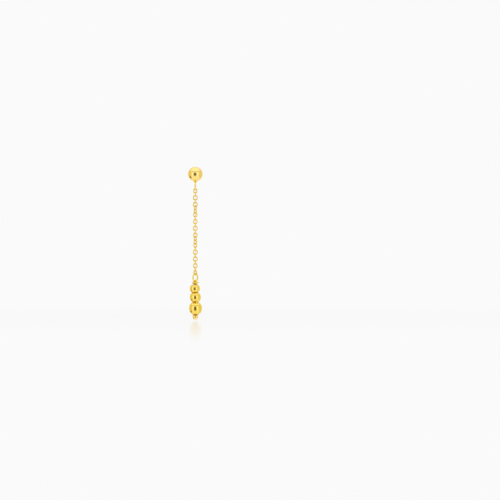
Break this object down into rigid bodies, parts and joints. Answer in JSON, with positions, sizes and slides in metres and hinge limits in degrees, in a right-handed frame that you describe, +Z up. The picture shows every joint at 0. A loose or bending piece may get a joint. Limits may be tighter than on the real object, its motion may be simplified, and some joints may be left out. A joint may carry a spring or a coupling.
{
  "type": "dangle earring",
  "caption": "Yellow gold dangle earring: a ball stud on an ear post, a fine cable chain, and a pin with graduated drilled beads that hangs from a jump ring.",
  "frame": {"origin": "where the ear post leaves the back of the ball, which is the point that rests against the front of the ear lobe", "axes": "+Z up, against the hang of the chain; +Y back along the post, into the ear; the earring is seen from -Y with +X to the right"},
  "size_m": [0.004, 0.014, 0.0414],
  "materials": {
    "stud_gold": "mirror polished yellow gold",
    "chain_gold": "polished yellow gold",
    "ring_gold": "polished yellow gold",
    "pin_gold": "polished yellow gold",
    "bead_gold": "mirror polished yellow gold"
  },
  "bodies": {
    "stud_and_chain": {"ball_stud": "stud_gold", "link_01": "chain_gold", "link_02": "chain_gold", "link_03": "chain_gold", "link_04": "chain_gold", "link_05": "chain_gold", "link_06": "chain_gold", "link_07": "chain_gold", "link_08": "chain_gold", "link_09": "chain_gold", "link_10": "chain_gold", "link_11": "chain_gold", "link_12": "chain_gold", "link_13": "chain_gold", "link_14": "chain_gold", "link_15": "chain_gold", "link_16": "chain_gold", "link_17": "chain_gold", "link_18": "chain_gold", "link_19": "chain_gold", "link_20": "chain_gold", "link_21": "chain_gold", "link_22": "chain_gold", "link_23": "chain_gold", "link_24": "chain_gold", "link_25": "chain_gold"},
    "ring": {"drop_ring": "ring_gold"},
    "drop": {"bead_pin": "pin_gold", "bead_small": "bead_gold", "bead_medium": "bead_gold", "bead_large": "bead_gold"}
  },
  "joints": [
    {"name": "ring_swing", "type": "hinge", "parent": "stud_and_chain", "child": "ring", "pos_m": [0, -0.002, -0.02724], "axis": [0.766, -0.6428, 0], "range_deg": [-50, 50]},
    {"name": "drop_swing", "type": "hinge", "parent": "ring", "child": "drop", "pos_m": [0, -0.002, -0.02908], "axis": [0.5299, 0.848, 0], "range_deg": [-55, 55]}
  ]
}
